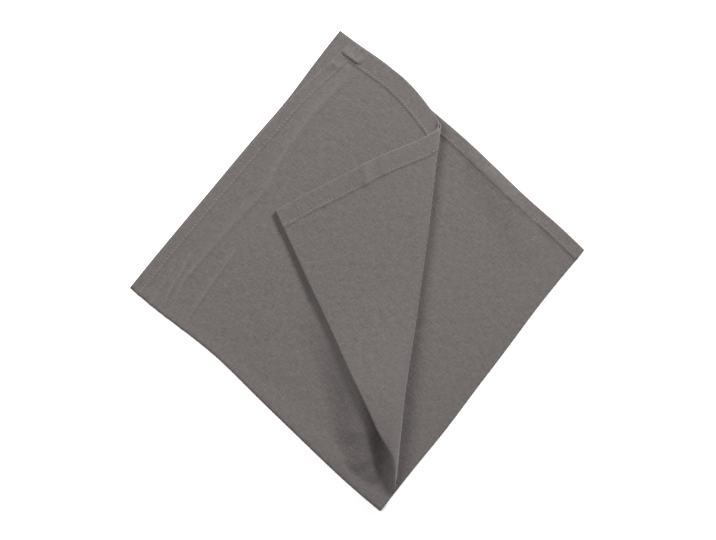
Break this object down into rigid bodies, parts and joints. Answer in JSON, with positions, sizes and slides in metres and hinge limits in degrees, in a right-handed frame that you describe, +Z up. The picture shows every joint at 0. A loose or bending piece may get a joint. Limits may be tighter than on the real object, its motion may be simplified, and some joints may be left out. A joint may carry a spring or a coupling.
{
  "type": "folded cloth napkin",
  "caption": "Square hemmed linen napkin folded in quarters, its upper layers turned back as a diagonal flap.",
  "frame": {"origin": "middle of the footprint, at the underside that rests on the table", "axes": "+Z up through the layers; +X along the closed edge from the closed corner, +Y along the other closed edge"},
  "size_m": [0.2378, 0.2306, 0.0198],
  "materials": {
    "linen": "matte woven linen, grey-taupe",
    "stitching": "matte sewing thread, a shade lighter than the cloth"
  },
  "bodies": {
    "root": {"napkin_cloth": "linen"}
  },
  "joints": []
}
